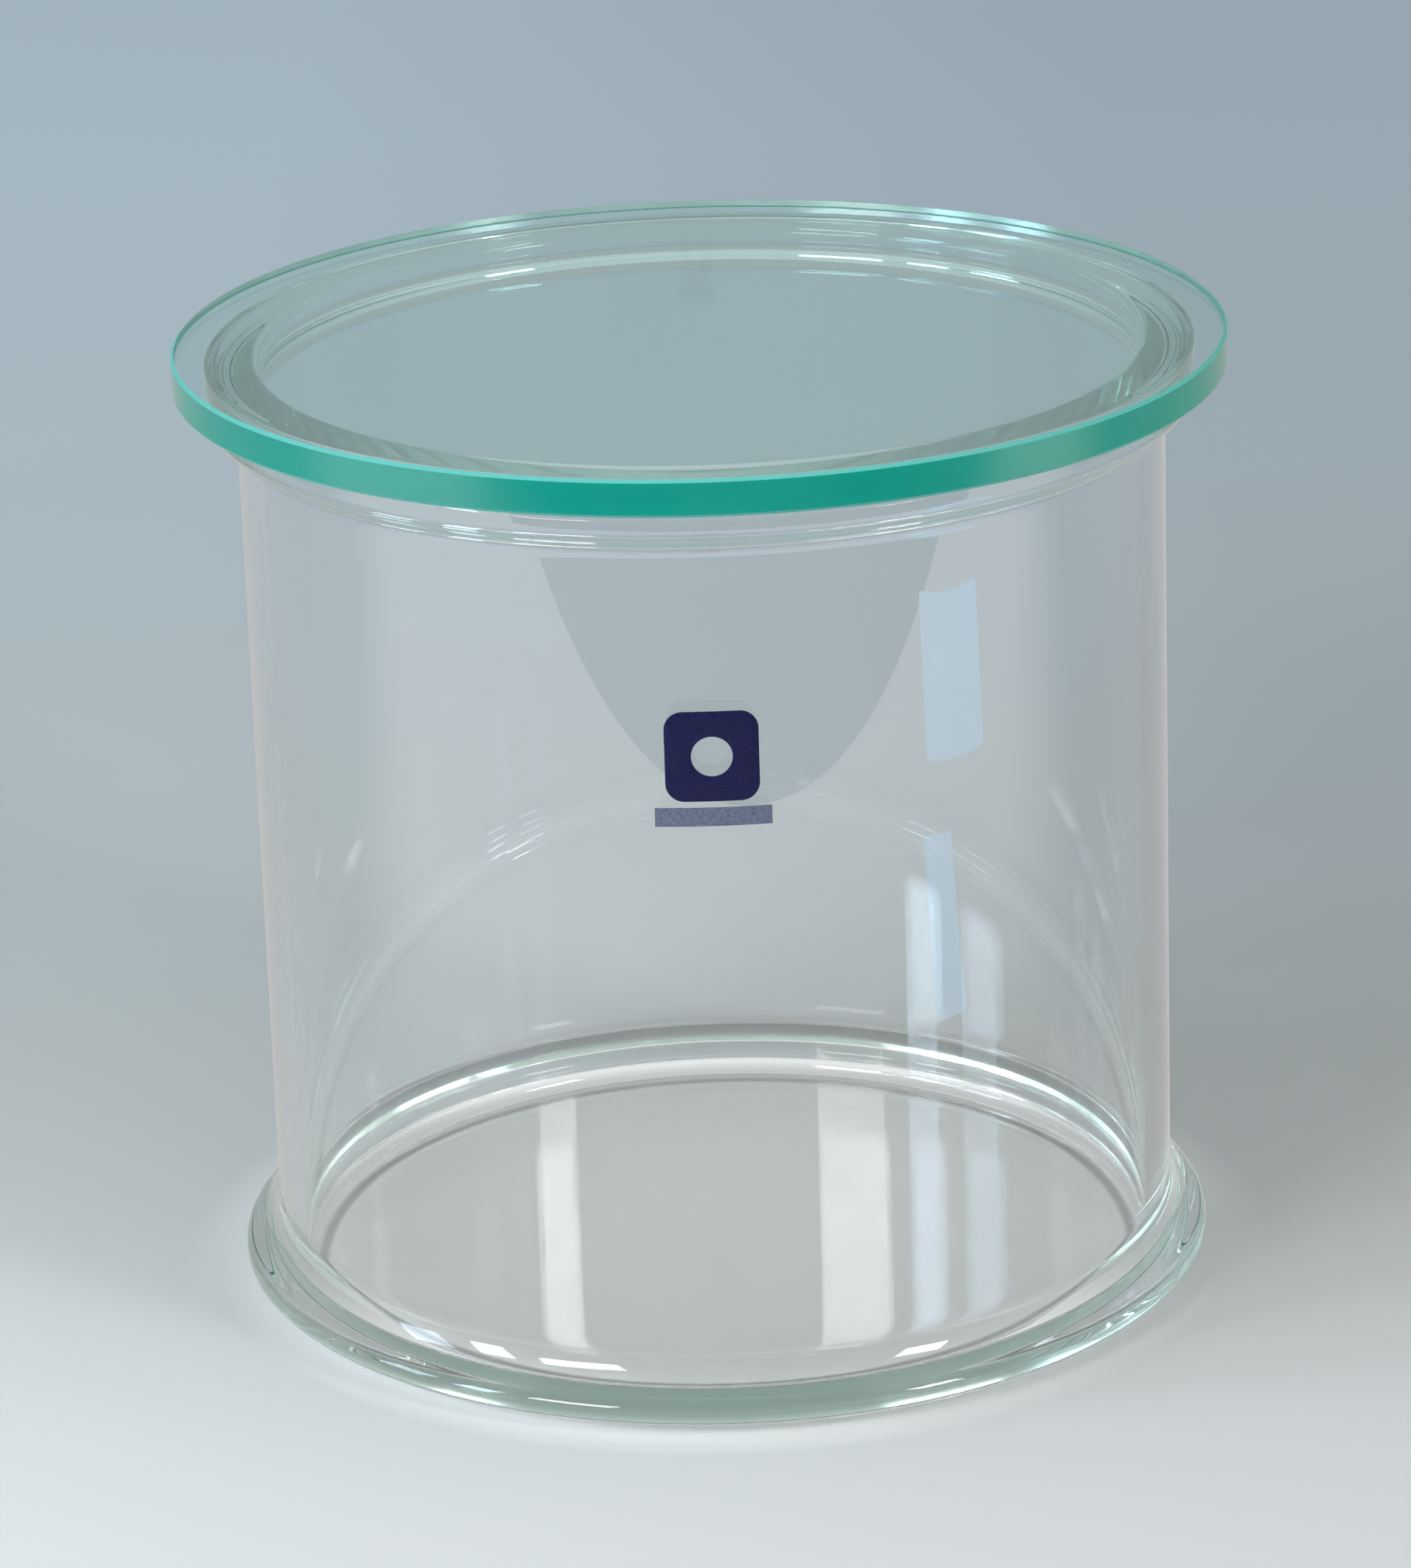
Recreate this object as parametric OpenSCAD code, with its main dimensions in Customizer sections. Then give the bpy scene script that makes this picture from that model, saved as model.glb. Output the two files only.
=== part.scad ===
// Straight-sided glass crystallizing dish with a flared foot, a ground flange
// and a loose flat cover plate. Millimetres, +Z up.
// Origin: centre of the face the dish stands on. The enamel mark faces -Y.

/* [Dish] */
// Outside diameter of the wall
body_d = 150; // [120:1:200]
// Height of the dish without its cover
body_h = 153; // [80:1:200]
// Thickness of the wall
wall = 4; // [3:0.1:6]
// Thickness of the floor
floor_t = 2.2; // [2:0.1:4]
// Radius of the corner between floor and wall, inside
corner_r = 2; // [1:0.1:6]

/* [Flange] */
// How far the flange stands out from the wall
flange_out = 4.8; // [3.5:0.1:6]
// Height of the flange's outer edge
flange_t = 6; // [5:0.1:8]
// Radius of the hollow under the flange
flange_fillet = 3.6; // [3.5:0.1:8]
// Radius of the flange's lower edge
flange_edge_r = 2.6; // [2.5:0.1:3]
// Radius of the flange's upper edge, beside the ground face
flange_face_r = 0.8; // [0.3:0.1:1.5]
// Radius of the fire-polished inner lip
lip_r = 1.6; // [0.5:0.1:2.5]

/* [Foot] */
// How far the foot stands out from the wall
foot_out = 6; // [5.5:0.1:7]
// Height of the middle of the bead round the foot
foot_z = 4.2; // [4:0.1:5]
// Radius of the bead
foot_bead_r = 2.4; // [2.2:0.1:2.6]
// Radius of the hollow above the bead
foot_fillet = 8; // [7:0.1:10]
// Diameter of the flat that the dish stands on
stand_d = 143; // [138:0.5:144]

/* [Cover plate] */
// Diameter of the cover plate
plate_d = 170; // [162:0.5:180]
// Thickness of the cover plate
plate_t = 6; // [4:0.5:8]
// Width of the ground bevel round both edges of the plate
plate_bevel = 0.5; // [0.2:0.1:1]

/* [Enamel mark] */
// Height of the middle of the badge
badge_z = 112; // [60:1:128]
// Side of the badge
badge_w = 14.5; // [10:0.5:18]
// Diameter of the clear window in the badge
badge_window_d = 6.4; // [4:0.1:8]
// Width of the bar under the badge
bar_w = 18; // [12:0.5:24]
// Height of the bar
bar_h = 3; // [2:0.1:5]
// Gap between badge and bar
bar_gap = 1; // [0.5:0.1:3]
// Thickness of the fired enamel
enamel_t = 0.12; // [0.1:0.01:0.3]

/* [Hidden] */
$fn = 128;

body_r = body_d / 2;
inner_r = body_r - wall;
flange_r = body_r + flange_out;
bead_x = body_r + foot_out - foot_bead_r;
stand_r = stand_d / 2;
plate_r = plate_d / 2;
badge_corner_r = badge_w * 0.2;
clear_glass = [0.86, 0.91, 0.90, 0.35];
green_glass = [0.45, 0.80, 0.72, 0.45];
navy = [0.08, 0.10, 0.30];
grey_blue = [0.48, 0.52, 0.62];

// Quarter of a square corner that a circle of radius r hollows out.
// The corner is at the origin and the fillet fills [0, r] x [0, r].
module fillet(r) {
    difference() {
        square(r);
        translate([r, r]) circle(r);
    }
}

// Height of the middle of a hollow of radius fillet_r that touches the wall
// and runs smoothly into a round edge of radius edge_r about (edge_x, edge_y)
function hollow_y(edge_x, edge_y, edge_r, fillet_r) =
    edge_y + sqrt(pow(fillet_r + edge_r, 2) - pow(body_r + fillet_r - edge_x, 2));

// Half section of the flange, upside down on y = 0
module flange_section() {
    edge_x = flange_r - flange_edge_r;
    edge_y = flange_t - flange_edge_r;
    hollow_x = body_r + flange_fillet;
    top_y = hollow_y(edge_x, edge_y, flange_edge_r, flange_fillet);
    difference() {
        polygon([
            [inner_r, 0], [edge_x, 0], [edge_x, edge_y], [hollow_x, top_y], [inner_r, top_y]
        ]);
        translate([hollow_x, top_y]) circle(flange_fillet);
    }
    translate([edge_x, edge_y]) circle(flange_edge_r);
    difference() {
        translate([inner_r, 0]) square([flange_r - inner_r, edge_y]);
        translate([flange_r, 0]) mirror([1, 0]) fillet(flange_face_r);
    }
}

// Half section of the foot. Its underside curves up from the flat to the bead.
module foot_section() {
    reach = bead_x - stand_r;
    under_r = (pow(reach, 2) + pow(foot_z, 2) - pow(foot_bead_r, 2)) / (2 * (foot_z - foot_bead_r));
    down = atan2(foot_z - under_r, reach);
    touch = [bead_x + foot_bead_r * cos(down), foot_z + foot_bead_r * sin(down)];
    hollow_x = body_r + foot_fillet;
    top_y = hollow_y(bead_x, foot_z, foot_bead_r, foot_fillet);
    difference() {
        intersection() {
            polygon([
                [inner_r, 0], [touch.x, 0], touch, [bead_x, foot_z], [hollow_x, top_y], [inner_r, top_y]
            ]);
            union() {
                square([stand_r, top_y]);
                translate([stand_r, under_r]) circle(under_r);
            }
        }
        translate([hollow_x, top_y]) circle(foot_fillet);
    }
    translate([bead_x, foot_z]) circle(foot_bead_r);
}

// Half section of the dish, x is the radius and y the height
module dish_section() {
    square([inner_r, floor_t]);
    translate([inner_r, floor_t]) mirror([1, 0]) fillet(corner_r);
    foot_section();
    difference() {
        union() {
            translate([inner_r, foot_z]) square([wall, body_h - foot_z]);
            translate([0, body_h]) mirror([0, 1]) flange_section();
        }
        translate([inner_r, body_h]) mirror([0, 1]) fillet(lip_r);
    }
}

module dish() {
    color(clear_glass) rotate_extrude() dish_section();
}

module cover_plate() {
    color(green_glass) translate([0, 0, body_h]) {
        cylinder(h = plate_bevel, r1 = plate_r - plate_bevel, r2 = plate_r);
        translate([0, 0, plate_bevel]) cylinder(h = plate_t - 2 * plate_bevel, r = plate_r);
        translate([0, 0, plate_t - plate_bevel])
            cylinder(h = plate_bevel, r1 = plate_r, r2 = plate_r - plate_bevel);
    }
}

// A thin layer on the front of the wall, in the outline that the children draw
module fired_on_wall(z0, z1) {
    intersection() {
        difference() {
            translate([0, 0, z0]) cylinder(h = z1 - z0, r = body_r + enamel_t);
            translate([0, 0, z0 - 1]) cylinder(h = z1 - z0 + 2, r = body_r);
        }
        rotate([90, 0, 0]) linear_extrude(body_r + 1) children();
    }
}

module rounded_square(w, h, r) {
    square([w - 2 * r, h], center = true);
    square([w, h - 2 * r], center = true);
    for (x = [-1, 1], y = [-1, 1])
        translate([x * (w / 2 - r), y * (h / 2 - r)]) circle(r);
}

module enamel_badge() {
    color(navy) fired_on_wall(badge_z - badge_w, badge_z + badge_w)
        translate([0, badge_z]) difference() {
            rounded_square(badge_w, badge_w, badge_corner_r);
            circle(d = badge_window_d);
        }
}

module enamel_bar() {
    bar_z = badge_z - badge_w / 2 - bar_gap - bar_h / 2;
    color(grey_blue) fired_on_wall(bar_z - bar_h, bar_z + bar_h)
        translate([0, bar_z]) square([bar_w, bar_h], center = true);
}

dish();
cover_plate();
enamel_badge();
enamel_bar();
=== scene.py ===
"""Looks for the glass crystallizing dish with its cover plate. Metres, +Z up, mark towards -Y."""
import math

import bmesh
import bpy
from mathutils import Matrix, Vector


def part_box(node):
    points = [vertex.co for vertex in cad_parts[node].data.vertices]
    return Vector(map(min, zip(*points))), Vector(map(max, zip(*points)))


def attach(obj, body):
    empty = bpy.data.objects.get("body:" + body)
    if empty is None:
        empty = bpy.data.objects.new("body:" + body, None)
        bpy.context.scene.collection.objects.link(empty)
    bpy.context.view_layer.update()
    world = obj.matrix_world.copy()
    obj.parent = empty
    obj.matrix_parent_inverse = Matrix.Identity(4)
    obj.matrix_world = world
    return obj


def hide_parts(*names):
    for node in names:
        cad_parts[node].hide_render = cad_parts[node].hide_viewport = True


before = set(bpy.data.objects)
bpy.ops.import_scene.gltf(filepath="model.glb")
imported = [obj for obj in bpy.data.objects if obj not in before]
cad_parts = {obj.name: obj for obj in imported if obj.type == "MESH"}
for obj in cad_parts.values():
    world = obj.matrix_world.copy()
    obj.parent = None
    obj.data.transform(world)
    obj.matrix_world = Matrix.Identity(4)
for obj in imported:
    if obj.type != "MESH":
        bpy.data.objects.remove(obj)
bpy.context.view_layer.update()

MM = 0.001

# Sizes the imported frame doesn't name, all in metres
WALL = 4.0 * MM
FLOOR_T = 2.2 * MM
CORNER_R = 2.0 * MM
LIP_R = 1.6 * MM
FLANGE_OUT = 4.8 * MM
FLANGE_T = 6.0 * MM
FLANGE_FILLET = 3.6 * MM
FLANGE_EDGE_R = 2.6 * MM
FLANGE_FACE_R = 0.8 * MM
FOOT_OUT = 6.0 * MM
FOOT_Z = 4.2 * MM
FOOT_BEAD_R = 2.4 * MM
FOOT_FILLET = 8.0 * MM
STAND_R = 71.5 * MM
PLATE_BEVEL = 0.5 * MM
SEAT_GAP = 0.03 * MM
FLOOR_GAP = 0.25 * MM
ENAMEL_T = 0.12 * MM
ENAMEL_GAP = 0.01 * MM
# Parts of the badge's width: the radius of its corners and the diameter of its window
BADGE_CORNER = 0.2
BADGE_WINDOW = 0.44
# Facets round the dish and the plate
SEGMENTS = 320
# Noise mostly stays between these values
NOISE_SPAN = (0.35, 0.65)

# Sizes taken from the frame
DISH_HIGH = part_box("dish")[1]
PLATE_LOW, PLATE_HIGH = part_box("cover_plate")
BADGE_LOW, BADGE_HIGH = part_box("enamel_badge")
BAR_LOW, BAR_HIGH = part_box("enamel_bar")
BODY_R = DISH_HIGH.x - FOOT_OUT
INNER_R = BODY_R - WALL
FLANGE_R = BODY_R + FLANGE_OUT
BEAD_X = BODY_R + FOOT_OUT - FOOT_BEAD_R
BODY_H = DISH_HIGH.z
PLATE_R = PLATE_HIGH.x

# Camera: a long lens a metre away, looking down at the middle of the dish
CAMERA_AIM_Z = 78.0 * MM
CAMERA_DISTANCE = 1.0454
CAMERA_ELEVATION = 19.518
CAMERA_YAW = -0.0653
CAMERA_PITCH = 0.1677
CAMERA_ROLL = -1.8145
CAMERA_LENS = 145.1
SENSOR = 36.0

# Glass: refractive index, and the absorption's colour and its density per metre
CLEAR_IOR = 1.474
CLEAR_TINT = (0.58, 0.76, 0.68)
CLEAR_DENSITY = 8.0
GREEN_IOR = 1.52
GREEN_TINT = (0.0, 0.97, 0.90)
GREEN_DENSITY = 25.0
# The skin of the plate's ground edge and of its bevels, which are partly opaque
GREEN_EDGE = (0.002, 0.50, 0.42)
GREEN_ARRIS = (0.12, 0.55, 0.50)

# Light is turned many times inside the foot. The clamp is about as bright as a window panel.
BOUNCES = 64
CLAMP = 20

# Window panels: name, azimuth, elevation, width, height, power and colour
LIGHT_DISTANCE = 2.4
LIGHTS = [("window_left", -38, 26.85, 0.8, 0.5, 23, (1.0, 0.98, 0.96)),
          ("window_right", 49.5, 27.4, 0.45, 0.55, 16, (1.0, 0.98, 0.96)),
          ("window_blue_near", -61, 20, 0.38, 0.8, 17, (0.66, 0.83, 1.0)),
          ("window_blue_far", -81, 20, 0.50, 0.8, 13, (0.66, 0.83, 1.0))]

# Glowing cards on the table that only the dish's outer face mirrors: painted reflections, which give the
# painted sheen on its wall.
# The warm card glows more with its radius, and less behind the dish. The dark card paints a dark
# reflection.
WARM_REFLECTION_COLOUR = (1.0, 0.94, 0.93)
WARM_RADII = (0.085, 0.30)
WARM_STRENGTHS = (0.6, 2.3)
WARM_BEHIND = (-0.14, 0.02)
DARK_REFLECTION_COLOUR = (0.02, 0.02, 0.02)
DARK_OUTLINE = [(-0.6, -0.46), (-0.6, -0.9), (0.6, -0.9), (0.6, -0.28)]
# Blue-white glowing cards at the right, painted reflections: first and last azimuth, nearest and farthest
# radius
BLUE_REFLECTION_COLOUR = (0.45, 0.72, 1.0)
BLUE_CARDS = [(49, 64, 0.375, 0.49), (47, 54, 0.23, 0.33)]
BLUE_STRENGTH = 5.0
# Outer radius of the warm card, and the step in height from one kind of card to the next
CARD_REACH = 1.5
CARD_STEP = 0.2 * MM

# Daylight beyond the dish, and behind the camera and overhead: place on the ramp and colour
WORLD_BEYOND = (0.1, (0.37, 0.39, 0.40))
WORLD_BEFORE = (0.65, (0.86, 0.86, 0.87))
# How much height counts beside nearness, and how much of the ramp the two cover
WORLD_UP = 0.6
WORLD_SPAN = 0.45

# Paper colour along y, with painted light falloff from pale before the dish to darker blue grey behind
# it. Place 0 is the first depth in metres and place 1 is the second. The depth grows with x too, by the
# slant, which paints the right a little darker.
FLOOR_DEPTHS = (-0.4, 0.8)
FLOOR_SLANT = 0.05
FLOOR_REACH = 4.0
FLOOR_TINT_AND_FALLOFF = [(0.15, (0.64, 0.66, 0.65)), (0.27, (0.62, 0.645, 0.635)), (0.35, (0.46, 0.49, 0.485)),
               (0.43, (0.40, 0.44, 0.44)), (0.62, (0.35, 0.405, 0.425)), (1.0, (0.37, 0.46, 0.52))]
# Painted shade to the right: how much of the paper's brightness is left from the left side to the right
FLOOR_SHADE_SIDES = (-0.12, 0.12)
FLOOR_SHADE_LEVELS = (1.0, 0.85)
# Paper under the dish painted brighter, the radii over which it ends, and its glow: painted light, which
# stands in for the window light that the dish gathers under itself
FLOOR_UNDER_LIT = (0.98, 0.99, 0.96)
UNDER_EDGE = (STAND_R - 2 * MM, STAND_R + 1 * MM)
UNDER_GLOW = 0.12
# Rings on the paper, which are a painted contact shadow under the foot and a painted rim of the light that
# it gathers: radius in millimetres, and how much brighter or darker the paper is painted there. The last
# is where along y the rings before the dish pass into the ones behind it.
SHADOW_AND_LIGHT_RINGS_BEFORE = [(67.4, 1.0), (68.2, 0.15), (69.4, 0.15), (70.2, 0.8), (71.6, 1.0), (73.0, 1.65),
                (78.0, 1.5), (82.0, 1.15), (86.0, 1.0)]
SHADOW_AND_LIGHT_RINGS_BEHIND = [(67.4, 1.0), (68.2, 0.15), (69.4, 0.15), (70.2, 0.9), (74.0, 1.2), (84.0, 1.2),
                (92.0, 1.0)]
SHADOW_AND_LIGHT_RINGS_CHANGE = (-0.03, 0.03)


# ---------------------------------------------------------------- outlines

def arc(x, z, radius, start, end, steps):
    """Points on a circle about (x, z), from the start angle to the end angle in degrees."""
    angles = [math.radians(start + (end - start) * i / steps) for i in range(steps + 1)]
    return [(x + radius * math.cos(a), z + radius * math.sin(a)) for a in angles]


def edge_and_hollow(edge_x, edge_z, edge_r, start, hollow_r):
    """Outline of a round edge, from the start angle, and the hollow that joins it to the wall."""
    hollow_x = BODY_R + hollow_r
    reach = hollow_r + edge_r
    hollow_z = edge_z + math.sqrt(reach ** 2 - (hollow_x - edge_x) ** 2)
    meet = math.degrees(math.atan2(hollow_z - edge_z, hollow_x - edge_x))
    points = arc(edge_x, edge_z, edge_r, start, meet, 16)
    return points + arc(hollow_x, hollow_z, hollow_r, meet + 180, 180, 14)[1:]


def foot_outline():
    """The foot from the edge of the flat it stands on, round the bead and up to the wall."""
    reach = BEAD_X - STAND_R
    under_r = (reach ** 2 + FOOT_Z ** 2 - FOOT_BEAD_R ** 2) / (2 * (FOOT_Z - FOOT_BEAD_R))
    down = math.degrees(math.atan2(FOOT_Z - under_r, reach))
    underside = arc(STAND_R, under_r, under_r, -90, down, 14)
    return underside + edge_and_hollow(BEAD_X, FOOT_Z, FOOT_BEAD_R, down, FOOT_FILLET)[1:]


def flange_outline():
    """The flange upside down on z = 0, from its face to the wall."""
    face = arc(FLANGE_R - FLANGE_FACE_R, FLANGE_FACE_R, FLANGE_FACE_R, -90, 0, 7)
    edge_x = FLANGE_R - FLANGE_EDGE_R
    edge_z = FLANGE_T - FLANGE_EDGE_R
    return face + edge_and_hollow(edge_x, edge_z, FLANGE_EDGE_R, 0, FLANGE_FILLET)


def dish_outline():
    """Half section of the dish from the axis, under the foot, up the outside and down the inside."""
    foot = foot_outline()
    flange = [(r, BODY_H - z) for r, z in reversed(flange_outline())]
    lip = arc(INNER_R + LIP_R, BODY_H - LIP_R, LIP_R, 90, 180, 7)
    corner = arc(INNER_R - CORNER_R, FLOOR_T + CORNER_R, CORNER_R, 0, -90, 14)
    return [(0, 0)] + foot + flange + lip + corner + [(0, FLOOR_T)]


def plate_outline():
    """Half section of the cover plate, with its two ground bevels."""
    low = PLATE_LOW.z + SEAT_GAP
    high = PLATE_HIGH.z
    inset = PLATE_R - PLATE_BEVEL
    return [(0, low), (inset, low), (PLATE_R, low + PLATE_BEVEL),
            (PLATE_R, high - PLATE_BEVEL), (inset, high), (0, high)]


def supported(points, inset, shortest):
    """The same outline with extra points near both ends of its long straight stretches."""
    out = [points[0]]
    for a, b in zip(points, points[1:]):
        length = math.dist(a, b)
        if length < 1e-9:
            continue
        if length > shortest:
            for t in (inset / length, 1 - inset / length):
                out.append((a[0] + (b[0] - a[0]) * t, a[1] + (b[1] - a[1]) * t))
        out.append(b)
    return out


# ---------------------------------------------------------------- meshes

def new_object(name, bm, material):
    """A shaded object from a bmesh, its sharp edges marked, closed and with outward normals."""
    bmesh.ops.recalc_face_normals(bm, faces=bm.faces)
    for face in bm.faces:
        face.smooth = True
    for edge in bm.edges:
        edge.smooth = edge.calc_face_angle(0) < math.radians(25)
    mesh = bpy.data.meshes.new(name)
    bm.to_mesh(mesh)
    bm.free()
    mesh.materials.append(material)
    made = bpy.data.objects.new(name, mesh)
    bpy.context.collection.objects.link(made)
    return made


def lathe(outline, segments):
    """A closed solid of revolution."""
    bm = bmesh.new()
    rings = []
    for r, z in outline:
        if r < 1e-9:
            rings.append([bm.verts.new((0, 0, z))])
            continue
        angles = [2 * math.pi * i / segments for i in range(segments)]
        rings.append([bm.verts.new((r * math.cos(a), r * math.sin(a), z)) for a in angles])
    for low, high in zip(rings, rings[1:]):
        for i in range(segments):
            j = (i + 1) % segments
            ring = [low[i % len(low)], low[j % len(low)], high[j % len(high)], high[i % len(high)]]
            bm.faces.new(list(dict.fromkeys(ring)))
    return bm


# ---------------------------------------------------------------- materials

def shader(name):
    """A new node material, its nodes, its links and its Principled shader."""
    material = bpy.data.materials.new(name)
    material.use_nodes = True
    nodes = material.node_tree.nodes
    links = material.node_tree.links
    return material, nodes, links, nodes["Principled BSDF"]


def noise_node(nodes, links, scale, detail):
    """Noise over the object's own coordinates."""
    place = nodes.new("ShaderNodeTexCoord")
    pattern = nodes.new("ShaderNodeTexNoise")
    pattern.inputs["Scale"].default_value = scale
    pattern.inputs["Detail"].default_value = detail
    links.new(place.outputs["Object"], pattern.inputs["Vector"])
    return pattern


def math_node(nodes, links, operation, source, amount):
    """The source added to, or multiplied by, the amount, which is a number or another output."""
    made = nodes.new("ShaderNodeMath")
    made.operation = operation
    links.new(source, made.inputs[0])
    if isinstance(amount, (int, float)):
        made.inputs[1].default_value = amount
    else:
        links.new(amount, made.inputs[1])
    return made.outputs["Value"]


def ranged(nodes, links, source, sources, results, smooth=False):
    """The source mapped from one range to another, and held at its ends."""
    mapped = nodes.new("ShaderNodeMapRange")
    if smooth:
        mapped.interpolation_type = "SMOOTHSTEP"
    mapped.inputs["From Min"].default_value = sources[0]
    mapped.inputs["From Max"].default_value = sources[1]
    mapped.inputs["To Min"].default_value = results[0]
    mapped.inputs["To Max"].default_value = results[1]
    links.new(source, mapped.inputs["Value"])
    return mapped.outputs["Result"]


def spread(nodes, links, pattern, low, high):
    """A noise pattern mapped to low to high."""
    return ranged(nodes, links, pattern.outputs["Fac"], NOISE_SPAN, (low, high))


def ramp_node(nodes, links, source, stops):
    """A colour ramp over the source, from stops that each give a place and a colour."""
    ramp = nodes.new("ShaderNodeValToRGB")
    elements = ramp.color_ramp.elements
    while len(elements) < len(stops):
        elements.new(0.9)
    for element, (position, colour) in zip(elements, stops):
        element.position = position
        element.color = (*colour, 1)
    links.new(source, ramp.inputs["Fac"])
    return ramp


def distances(nodes, links):
    """The outputs x, y and distance from the object's origin."""
    place = nodes.new("ShaderNodeTexCoord")
    split = nodes.new("ShaderNodeSeparateXYZ")
    links.new(place.outputs["Object"], split.inputs["Vector"])
    radius = nodes.new("ShaderNodeVectorMath")
    radius.operation = "LENGTH"
    links.new(place.outputs["Object"], radius.inputs[0])
    return split.outputs["X"], split.outputs["Y"], radius.outputs["Value"]


def mixed(nodes, links, factor, first, second):
    """A colour mix of two outputs or constant colours."""
    mix = nodes.new("ShaderNodeMix")
    mix.data_type = "RGBA"
    links.new(factor, mix.inputs[0])
    for socket, colour in ((mix.inputs[6], first), (mix.inputs[7], second)):
        if isinstance(colour, tuple):
            socket.default_value = (*colour, 1)
        else:
            links.new(colour, socket)
    return mix.outputs[2]


def scaled(nodes, links, colour, amount):
    """A colour multiplied by a number, or by the output of a node."""
    product = nodes.new("ShaderNodeVectorMath")
    product.operation = "SCALE"
    links.new(colour, product.inputs["Vector"])
    if isinstance(amount, (int, float)):
        product.inputs["Scale"].default_value = amount
    else:
        links.new(amount, product.inputs["Scale"])
    return product.outputs["Vector"]


def bumped(nodes, links, bsdf, pattern, height):
    """A bump over the whole surface, with waves of the given height."""
    bump = nodes.new("ShaderNodeBump")
    bump.inputs["Distance"].default_value = height
    links.new(pattern.outputs["Fac"], bump.inputs["Height"])
    links.new(bump.outputs["Normal"], bsdf.inputs["Normal"])


def glass(name, ior, tint, density, roughness, wave, skin=(1, 1, 1), clear=1.0, shine=0.5):
    """Glass with a tint that grows with depth.

    Roughness is its smoothest and its roughest, and wave is the scale and the height of its waves.
    """
    material, nodes, links, bsdf = shader(name)
    bsdf.inputs["Base Color"].default_value = (*skin, 1)
    bsdf.inputs["IOR"].default_value = ior
    bsdf.inputs["Transmission Weight"].default_value = clear
    bsdf.inputs["Specular IOR Level"].default_value = shine
    wiped = noise_node(nodes, links, 45, 4)
    links.new(spread(nodes, links, wiped, *roughness), bsdf.inputs["Roughness"])
    wave_scale, wave_height = wave
    bumped(nodes, links, bsdf, noise_node(nodes, links, wave_scale, 1), wave_height)
    inside = nodes.new("ShaderNodeVolumeAbsorption")
    inside.inputs["Color"].default_value = (*tint, 1)
    inside.inputs["Density"].default_value = density
    links.new(inside.outputs["Volume"], nodes["Material Output"].inputs["Volume"])
    return material


def enamel(name, dark, light, roughness):
    """Fired screen-print enamel: fine pigment grain and a slightly uneven gloss."""
    material, nodes, links, bsdf = shader(name)
    grain = noise_node(nodes, links, 2600, 3)
    colour = mixed(nodes, links, spread(nodes, links, grain, 0, 1), dark, light)
    links.new(colour, bsdf.inputs["Base Color"])
    links.new(spread(nodes, links, grain, roughness, roughness + 0.2), bsdf.inputs["Roughness"])
    bumped(nodes, links, bsdf, grain, 0.02 * MM)
    bsdf.inputs["Specular IOR Level"].default_value = 0.12
    return material


# ---------------------------------------------------------------- pieces

def make_dish(material):
    outline = supported(dish_outline(), 0.4 * MM, 2 * MM)
    dish = new_object("dish_glass", lathe(outline, SEGMENTS), material)
    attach(dish, "dish_body")
    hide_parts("dish")


def make_plate(material, ground, arris):
    outline = supported(plate_outline(), 0.3 * MM, 3 * MM)
    plate = new_object("cover_plate_glass", lathe(outline, SEGMENTS), material)
    plate.data.materials.append(ground)
    plate.data.materials.append(arris)
    for face in plate.data.polygons:
        radius = math.hypot(face.center.x, face.center.y)
        if radius > PLATE_R - PLATE_BEVEL:
            face.material_index = 2 if abs(face.normal.z) > 0.3 else 1
    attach(plate, "cover_body")
    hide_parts("cover_plate")


def on_wall(x, z, depth):
    """A point depth outside the front of the wall."""
    radius = BODY_R + depth
    return Vector((x, -math.sqrt(radius ** 2 - x ** 2), z))


def rounded_square_edge(width, corner, steps):
    """The outline of a square with round corners, about the origin."""
    reach = width / 2 - corner
    points = []
    for i, (sx, sz) in enumerate([(1, 1), (-1, 1), (-1, -1), (1, -1)]):
        points += arc(sx * reach, sz * reach, corner, 90 * i, 90 * i + 90, steps)
    out = []
    for a, b in zip(points, points[1:] + points[:1]):
        parts = max(1, round(math.dist(a, b) / (corner / 6)))
        out += [(a[0] + (b[0] - a[0]) * k / parts, a[1] + (b[1] - a[1]) * k / parts) for k in range(parts)]
    return out


def film(name, loops, material):
    """A thin layer on the wall between the first loop and the last, its rim rounded over."""
    bm = bmesh.new()
    layers = []
    last = len(loops) - 1
    for depth in (ENAMEL_GAP, ENAMEL_T):
        rows = []
        for k, loop in enumerate(loops):
            rim = k in (0, last) and depth == ENAMEL_T
            rows.append([bm.verts.new(on_wall(x, z, depth * (0.55 if rim else 1))) for x, z in loop])
        layers.append(rows)
    count = len(loops[0])
    for rows in layers:
        for a, b in zip(rows, rows[1:]):
            for i in range(count):
                j = (i + 1) % count
                bm.faces.new((a[i], a[j], b[j], b[i]))
    for k in (0, last):
        for i in range(count):
            j = (i + 1) % count
            bm.faces.new((layers[0][k][i], layers[0][k][j], layers[1][k][j], layers[1][k][i]))
    return new_object(name, bm, material)


def make_badge(material):
    middle = (BADGE_LOW.z + BADGE_HIGH.z) / 2
    width = BADGE_HIGH.z - BADGE_LOW.z
    outer = rounded_square_edge(width, width * BADGE_CORNER, 12)
    window = width * BADGE_WINDOW / 2
    inner = []
    for x, z in outer:
        length = math.hypot(x, z)
        inner.append((x / length * window, z / length * window))
    loops = []
    for t in (0, 0.03, 0.2, 0.4, 0.6, 0.8, 0.97, 1):
        loops.append([(a[0] + (b[0] - a[0]) * t, middle + a[1] + (b[1] - a[1]) * t)
                      for a, b in zip(inner, outer)])
    badge = film("enamel_badge_print", loops, material)
    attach(badge, "dish_body")
    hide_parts("enamel_badge")


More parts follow.
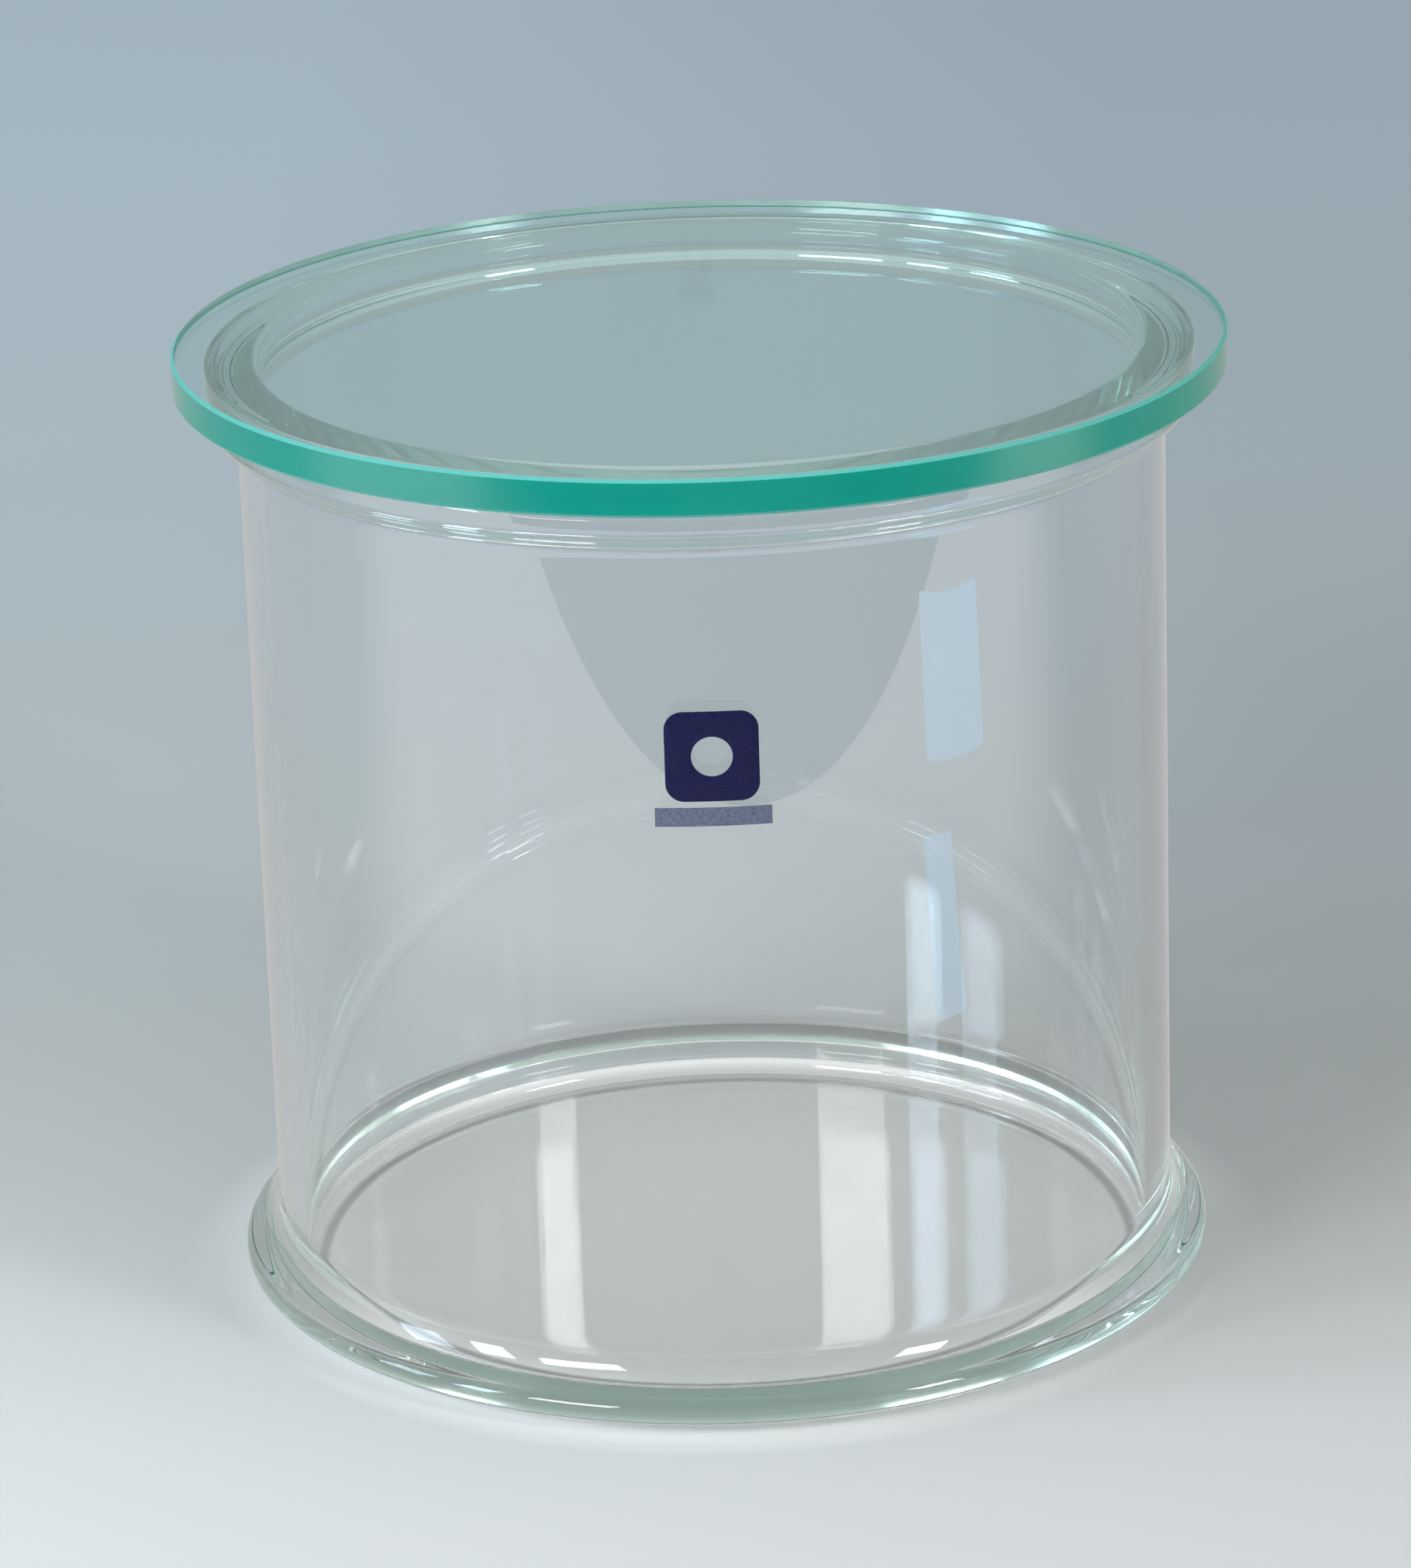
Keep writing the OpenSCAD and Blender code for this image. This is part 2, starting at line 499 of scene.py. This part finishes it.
def make_bar(material):
    half_w = (BAR_HIGH.x - BAR_LOW.x) / 2
    half_h = (BAR_HIGH.z - BAR_LOW.z) / 2
    middle = (BAR_LOW.z + BAR_HIGH.z) / 2
    bm = bmesh.new()
    columns = 36
    rows = 4
    grid = {}
    for layer, depth in enumerate((ENAMEL_GAP, ENAMEL_T)):
        for i in range(columns + 1):
            for k in range(rows + 1):
                x = half_w * (2 * i / columns - 1)
                z = middle + half_h * (2 * k / rows - 1)
                grid[layer, i, k] = bm.verts.new(on_wall(x, z, depth))
    for layer in (0, 1):
        for i in range(columns):
            for k in range(rows):
                bm.faces.new((grid[layer, i, k], grid[layer, i + 1, k],
                              grid[layer, i + 1, k + 1], grid[layer, i, k + 1]))
    for i in range(columns):
        for k in (0, rows):
            bm.faces.new((grid[0, i, k], grid[0, i + 1, k], grid[1, i + 1, k], grid[1, i, k]))
    for k in range(rows):
        for i in (0, columns):
            bm.faces.new((grid[0, i, k], grid[0, i, k + 1], grid[1, i, k + 1], grid[1, i, k]))
    bar = new_object("enamel_bar_print", bm, material)
    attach(bar, "dish_body")
    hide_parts("enamel_bar")


# ---------------------------------------------------------------- stage, light and camera

def stage_object(name, bm, material):
    """A piece of the stage from a bmesh."""
    mesh = bpy.data.meshes.new(name)
    bm.to_mesh(mesh)
    bm.free()
    mesh.materials.append(material)
    made = bpy.data.objects.new(name, mesh)
    bpy.context.collection.objects.link(made)
    return made


def make_floor(material):
    bm = bmesh.new()
    bmesh.ops.create_circle(bm, cap_ends=True, segments=96, radius=FLOOR_REACH)
    bmesh.ops.translate(bm, verts=bm.verts, vec=(0, 0, -FLOOR_GAP))
    stage_object("floor", bm, material)


def painted_ring_levels(nodes, links, radius, rings):
    """Half the level of the painted shadow and light rings at a radius in metres, so that a level up to 2
    fits in a colour.
    """
    stops = [(at / 100, (level / 2, level / 2, level / 2)) for at, level in rings]
    place = math_node(nodes, links, "MULTIPLY", radius, 10.0)
    return ramp_node(nodes, links, place, stops).outputs["Color"]


def floor_material():
    """Pale paper before the dish with painted light falloff to a soft blue grey behind it, painted shade
    to the right, painted light under the dish and painted rings of shadow and light round its foot.
    """
    material, nodes, links, bsdf = shader("floor")
    x, y, radius = distances(nodes, links)
    depth = math_node(nodes, links, "ADD", y, math_node(nodes, links, "MULTIPLY", x, FLOOR_SLANT))
    # Painted light falloff: the paper darkens to blue grey behind the dish.
    paper = ramp_node(nodes, links, ranged(nodes, links, depth, FLOOR_DEPTHS, (0, 1)), FLOOR_TINT_AND_FALLOFF)
    paper.color_ramp.interpolation = "B_SPLINE"
    # Painted shade: darker towards the right side.
    side_shade = ranged(nodes, links, x, FLOOR_SHADE_SIDES, FLOOR_SHADE_LEVELS)
    shade = scaled(nodes, links, paper.outputs["Color"], side_shade)
    # Painted light: the paper under the dish is brighter and glows.
    under = ranged(nodes, links, radius, UNDER_EDGE, (1, 0))
    plain = mixed(nodes, links, under, shade, FLOOR_UNDER_LIT)
    # Painted contact shadow and painted rim of light, in rings round the foot.
    behind = ranged(nodes, links, y, SHADOW_AND_LIGHT_RINGS_CHANGE, (0, 1), smooth=True)
    rings = mixed(nodes, links, behind, painted_ring_levels(nodes, links, radius, SHADOW_AND_LIGHT_RINGS_BEFORE),
                  painted_ring_levels(nodes, links, radius, SHADOW_AND_LIGHT_RINGS_BEHIND))
    ring_shaded = nodes.new("ShaderNodeVectorMath")
    ring_shaded.operation = "MULTIPLY"
    links.new(plain, ring_shaded.inputs[0])
    links.new(rings, ring_shaded.inputs[1])
    links.new(scaled(nodes, links, ring_shaded.outputs["Vector"], 2.0), bsdf.inputs["Base Color"])
    bsdf.inputs["Roughness"].default_value = 0.9
    bsdf.inputs["Specular IOR Level"].default_value = 0.1
    bsdf.inputs["Emission Color"].default_value = (1, 1, 1, 1)
    links.new(math_node(nodes, links, "MULTIPLY", under, UNDER_GLOW), bsdf.inputs["Emission Strength"])
    return material


def make_window(name, azimuth, elevation, width, height, power, colour):
    """A soft panel that faces the dish. Azimuth 0 is behind the camera, 90 is at its right."""
    a = math.radians(azimuth)
    e = math.radians(elevation)
    away = Vector((math.sin(a) * math.cos(e), -math.cos(a) * math.cos(e), math.sin(e)))
    lamp = bpy.data.lights.new(name, "AREA")
    lamp.shape = "RECTANGLE"
    lamp.size = width
    lamp.size_y = height
    lamp.energy = power
    lamp.color = colour
    made = bpy.data.objects.new(name, lamp)
    made.location = away * LIGHT_DISTANCE + Vector((0, 0, BODY_H / 2))
    made.rotation_mode = "QUATERNION"
    made.rotation_quaternion = away.to_track_quat("Z", "Y")
    made.visible_camera = False
    bpy.context.collection.objects.link(made)


def make_world():
    """Even, slightly cool daylight: brighter overhead and behind the camera than beyond the dish."""
    world = bpy.data.worlds.new("daylight")
    world.use_nodes = True
    bpy.context.scene.world = world
    nodes = world.node_tree.nodes
    links = world.node_tree.links
    place = nodes.new("ShaderNodeTexCoord")
    split = nodes.new("ShaderNodeSeparateXYZ")
    links.new(place.outputs["Generated"], split.inputs["Vector"])
    up = math_node(nodes, links, "MULTIPLY", split.outputs["Z"], WORLD_UP)
    lean = math_node(nodes, links, "SUBTRACT", up, split.outputs["Y"])
    above = math_node(nodes, links, "ADD", lean, 1.0)
    span = math_node(nodes, links, "MULTIPLY", above, WORLD_SPAN)
    ramp = ramp_node(nodes, links, span, [WORLD_BEYOND, WORLD_BEFORE])
    links.new(ramp.outputs["Color"], nodes["Background"].inputs["Color"])


def make_camera():
    data = bpy.data.cameras.new("camera")
    data.lens = CAMERA_LENS
    data.sensor_width = SENSOR
    data.clip_start = 0.05
    data.clip_end = 50
    elevation = math.radians(CAMERA_ELEVATION)
    yaw = math.radians(CAMERA_YAW)
    pitch = math.radians(CAMERA_PITCH)
    roll = math.radians(CAMERA_ROLL)
    right = Vector((1, 0, 0))
    ahead = Vector((0, math.cos(elevation), -math.sin(elevation)))
    up = right.cross(ahead)
    middle = Vector((0, 0, CAMERA_AIM_Z))
    place = middle - ahead * CAMERA_DISTANCE
    look = ahead * math.cos(yaw) * math.cos(pitch) + right * math.sin(yaw) * math.cos(pitch)
    look += up * math.sin(pitch)
    level = look.cross(up).normalized()
    over = level.cross(look)
    x_axis = level * math.cos(roll) + over * math.sin(roll)
    y_axis = over * math.cos(roll) - level * math.sin(roll)
    made = bpy.data.objects.new("camera", data)
    turn = Matrix((x_axis, y_axis, -look)).transposed()
    made.matrix_world = Matrix.Translation(place) @ turn.to_4x4()
    bpy.context.collection.objects.link(made)
    bpy.context.scene.camera = made


def glowing(name, colour):
    """A black material that only glows, its nodes, its links and its Principled shader."""
    material, nodes, links, bsdf = shader(name)
    bsdf.inputs["Base Color"].default_value = (0, 0, 0, 1)
    bsdf.inputs["Specular IOR Level"].default_value = 0
    bsdf.inputs["Emission Color"].default_value = (*colour, 1)
    return material, nodes, links, bsdf


def reflection_card_material(name, colour, strength):
    """A glowing card for a painted reflection, a little uneven."""
    material, nodes, links, bsdf = glowing(name, colour)
    uneven = spread(nodes, links, noise_node(nodes, links, 12, 2), strength * 0.95, strength * 1.05)
    links.new(uneven, bsdf.inputs["Emission Strength"])
    return material


def warm_reflection_material(name):
    """The warm card's painted reflection, its glow fading towards the dish and behind it."""
    material, nodes, links, bsdf = glowing(name, WARM_REFLECTION_COLOUR)
    _, y, radius = distances(nodes, links)
    least, most = WARM_STRENGTHS
    outward = ranged(nodes, links, radius, WARM_RADII, (0, most - least), smooth=True)
    before = ranged(nodes, links, y, WARM_BEHIND, (1, 0), smooth=True)
    glow = math_node(nodes, links, "MULTIPLY", outward, before)
    links.new(math_node(nodes, links, "ADD", glow, least), bsdf.inputs["Emission Strength"])
    return material


def place_reflection_card(name, height, outline, hole, material):
    """A card of painted reflection above the table, round a hole if it has one, that mirrors show and
    nothing else does.
    """
    bm = bmesh.new()
    outer = [bm.verts.new((x, y, height)) for x, y in outline]
    if hole:
        inner = [bm.verts.new((x, y, height)) for x, y in hole]
        for i in range(len(outer)):
            j = (i + 1) % len(outer)
            bm.faces.new((outer[i], outer[j], inner[j], inner[i]))
    else:
        bm.faces.new(outer)
    card = stage_object(name, bm, material)
    card.visible_camera = False
    card.visible_transmission = False
    card.visible_diffuse = False
    card.visible_shadow = False


def ground_point(azimuth, radius):
    """A point on the table. Azimuth 0 is before the dish, 90 is at its right."""
    a = math.radians(azimuth)
    return (radius * math.sin(a), -radius * math.cos(a))


def make_reflection_cards():
    # Painted reflections: glowing cards that only the dish's outer face mirrors.
    ring = [2 * math.pi * i / 96 for i in range(96)]
    outer = [(CARD_REACH * math.cos(a), CARD_REACH * math.sin(a)) for a in ring]
    inner = [(WARM_RADII[0] * math.cos(a), WARM_RADII[0] * math.sin(a)) for a in ring]
    place_reflection_card("painted_reflection_warm", CARD_STEP, outer, inner, warm_reflection_material("painted_reflection_warm"))
    dark = reflection_card_material("painted_reflection_dark", DARK_REFLECTION_COLOUR, 1.0)
    place_reflection_card("painted_reflection_dark", 2 * CARD_STEP, DARK_OUTLINE, None, dark)
    for i, (first, last, near, far) in enumerate(BLUE_CARDS):
        name = "card_blue_%d" % i
        outline = [ground_point(first, near), ground_point(last, near),
                   ground_point(last, far), ground_point(first, far)]
        blue = reflection_card_material(name, BLUE_REFLECTION_COLOUR, BLUE_STRENGTH)
        place_reflection_card(name, 3 * CARD_STEP, outline, None, blue)


def main():
    clear = glass("borosilicate", CLEAR_IOR, CLEAR_TINT, CLEAR_DENSITY, (0.0, 0.02), (30, 0.004 * MM))
    green = glass("float_green", GREEN_IOR, GREEN_TINT, GREEN_DENSITY, (0.0, 0.01), (20, 0.002 * MM))
    ground = glass("float_green_ground", GREEN_IOR, GREEN_TINT, GREEN_DENSITY, (0.14, 0.22),
                   (900, 0.002 * MM), GREEN_EDGE, 0.7, 0.2)
    arris = glass("float_green_arris", GREEN_IOR, GREEN_TINT, GREEN_DENSITY, (0.35, 0.50),
                  (900, 0.002 * MM), GREEN_ARRIS, 0.35, 0.2)
    make_dish(clear)
    make_plate(green, ground, arris)
    make_badge(enamel("navy_enamel", (0.003, 0.004, 0.030), (0.006, 0.008, 0.050), 0.3))
    make_bar(enamel("grey_enamel", (0.07, 0.085, 0.13), (0.11, 0.13, 0.19), 0.4))
    make_floor(floor_material())
    make_reflection_cards()
    for light in LIGHTS:
        make_window(*light)
    make_world()
    make_camera()
    scene = bpy.context.scene
    scene.view_settings.view_transform = "Standard"
    scene.cycles.max_bounces = BOUNCES
    scene.cycles.transmission_bounces = BOUNCES
    scene.cycles.glossy_bounces = BOUNCES
    scene.cycles.sample_clamp_indirect = CLAMP


main()
